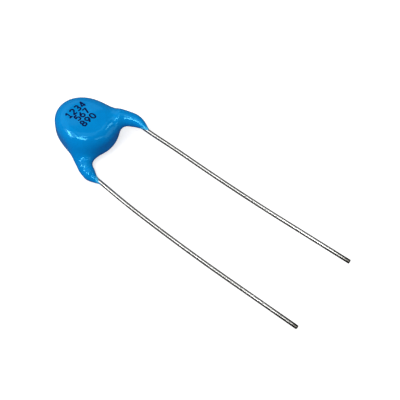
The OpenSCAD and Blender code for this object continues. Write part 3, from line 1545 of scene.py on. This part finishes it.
# ---------------------------------------------------------------- stage, light and camera


@dataclass(frozen=True)
class SoftLight:
    """A soft box as the part sees it: its way, width, height and turn are angles."""

    name: str
    azimuth: float
    elevation: float
    wide: float
    high: float
    radiance: float
    turn: float = 0.0
    distance: float = 600.0
    colour: str = "#FFFFFF"

    def build(self, aim: Vector) -> bpy.types.Object:
        """Adds the light.

        Args:
            aim: The point that it faces.

        Returns:
            The light.
        """
        data = bpy.data.lights.new(self.name, "AREA")
        data.shape = "RECTANGLE"
        off = self.distance * MM
        data.size = 2 * off * math.tan(math.radians(self.wide / 2))
        data.size_y = 2 * off * math.tan(math.radians(self.high / 2))
        data.energy = self.radiance * math.pi * data.size * data.size_y
        data.color = linear(self.colour)[:3]
        az, el = math.radians(self.azimuth), math.radians(self.elevation)
        way = Vector((math.cos(el) * math.cos(az), math.cos(el) * math.sin(az), math.sin(el)))
        place = Matrix.Translation(aim + way * off)
        facing = way.to_track_quat("Z", "Y").to_matrix().to_4x4()
        made = placed(self.name, data)
        made.matrix_world = place @ facing @ Matrix.Rotation(math.radians(self.turn), 4, "Z")
        return made


@dataclass
class Studio:
    """A pale floor, soft lights and the camera."""

    pose: RestPose
    # Each box's name, azimuth, elevation, width, height and radiance, and its turn if it has one.
    lights: tuple[SoftLight, ...] = (
        SoftLight("key_box", -162, 58.5, 38, 13, 11.5, -9),
        SoftLight("notch_box", 143, 61, 10, 4, 7.0),
        SoftLight("leg_box", 170, 73.5, 11, 4, 15.0),
        SoftLight("window_box", 132, 37, 16, 8, 13.5, -20),
        SoftLight("side_box", -27, 51, 10, 8, 5.0),
        SoftLight("zenith_box", -150, 84, 14, 12, 4.0),
        SoftLight("low_box", -84, 39, 22, 8, 2.5, -38),
        SoftLight("sky_box", 136, 43, 24, 38, 1.8),
        SoftLight("fill_box", -50, 18, 46, 30, 0.8),
        SoftLight("top_box", 50, 80, 40, 30, 0.7),
        SoftLight("back_box", 84, 38, 60, 26, 0.4),
    )
    # How bright the room is to everything but the eye, which sees plain white.
    world_level: float = 0.12
    # The view, from the disc's middle: turn about Z, height above the disc's plane, distance.
    view_turn: float = 46.382
    view_height: float = 54.745
    distance: float = 190.126
    # Pixels a millimetre at that distance, and where the disc's middle falls in the frame.
    scale: float = 6.8434
    middle: tuple[float, float] = (88.892, 128.498)
    sensor: float = 36.0
    # What the camera draws lies between these distances.
    nearest: float = 5.0
    farthest: float = 10000.0
    # The floor reaches this far each way, and lies a hair under the part.
    floor_reach: float = 1500.0
    floor_gap: float = 0.01

    def camera(self) -> bpy.types.Object:
        """Adds the camera so that the disc's middle falls on its place in the frame.

        Returns:
            The camera, which is the scene's.
        """
        focal = self.scale * self.distance
        a, h = math.radians(self.view_turn), math.radians(self.view_height)
        right = Vector((math.cos(a), -math.sin(a), 0))
        away = Vector((math.sin(a), math.cos(a), 0))
        up_z = Vector((0, 0, 1))
        back = -away * math.cos(h) + up_z * math.sin(h)
        up = away * math.sin(h) + up_z * math.cos(h)
        half = FRAME_WIDTH / 2
        x = (self.middle[0] - half) / focal
        y = (half - self.middle[1]) / focal
        place = (right * x + up * y - back) * (-self.distance * MM)
        turn = Matrix((right, up, back)).transposed().to_4x4()
        data = bpy.data.cameras.new("camera")
        data.type = "PERSP"
        data.sensor_width = self.sensor
        data.lens = focal / FRAME_WIDTH * data.sensor_width
        data.clip_start = self.nearest * MM
        data.clip_end = self.farthest * MM
        made = placed("camera", data)
        made.matrix_world = self.pose.matrix() @ Matrix.Translation(place) @ turn
        bpy.context.scene.camera = made
        return made

    def floor(self) -> bpy.types.Object:
        """Adds the floor just under the part.

        Returns:
            The floor, which is part of the stage.
        """
        mesh = bpy.data.meshes.new("floor")
        reach, low = self.floor_reach * MM, -self.floor_gap * MM
        corners = ((-1, -1), (1, -1), (1, 1), (-1, 1))
        mesh.from_pydata([(x * reach, y * reach, low) for x, y in corners], [], [(0, 1, 2, 3)])
        mesh.materials.append(PaleFloor().material())
        made = placed("floor", mesh)
        return made

    def build(self) -> None:
        """Sets up floor, world, lights and camera."""
        scene = bpy.context.scene
        scene.world = bpy.data.worlds.new("soft_room")
        scene.world.use_nodes = True
        tree = scene.world.node_tree
        to_eye = add_node(tree, "ShaderNodeLightPath").outputs["Is Camera Ray"]
        level = add_node(
            tree,
            "ShaderNodeMapRange",
            links={"Value": to_eye, "To Min": self.world_level, "To Max": 1.0},
        )
        feed(tree, tree.nodes["Background"], {"Color": linear("#FFFFFF"), "Strength": level})
        scene.view_settings.view_transform = "Standard"
        self.floor()
        aim = self.pose.matrix().to_translation()
        for light in self.lights:
            light.build(aim)
        self.camera()


# ---------------------------------------------------------------- all together


def report(piece: bpy.types.Object) -> None:
    """Logs one finished piece."""
    log.info("%s: %d faces", piece.name, len(piece.data.polygons))


def main() -> None:
    """Builds every piece in order, then the studio."""
    pose = RestPose()
    bend = WireBend()
    coating = Coating(bend, pose)
    skin = coating.build()
    report(skin)
    report(Lead(Side.RIGHT, bend, pose, lean=1.1, pin_length=10.7).build())
    report(Lead(Side.LEFT, bend, pose, lean=0.6, pin_length=11.2).build())
    report(FaceStamp(coating, pose).build(skin))
    SealedPieces().dress(frame["nodes"])
    Studio(pose).build()


if __name__ == "__main__":
    logging.basicConfig(level=logging.INFO, format="%(name)s: %(message)s")
    main()
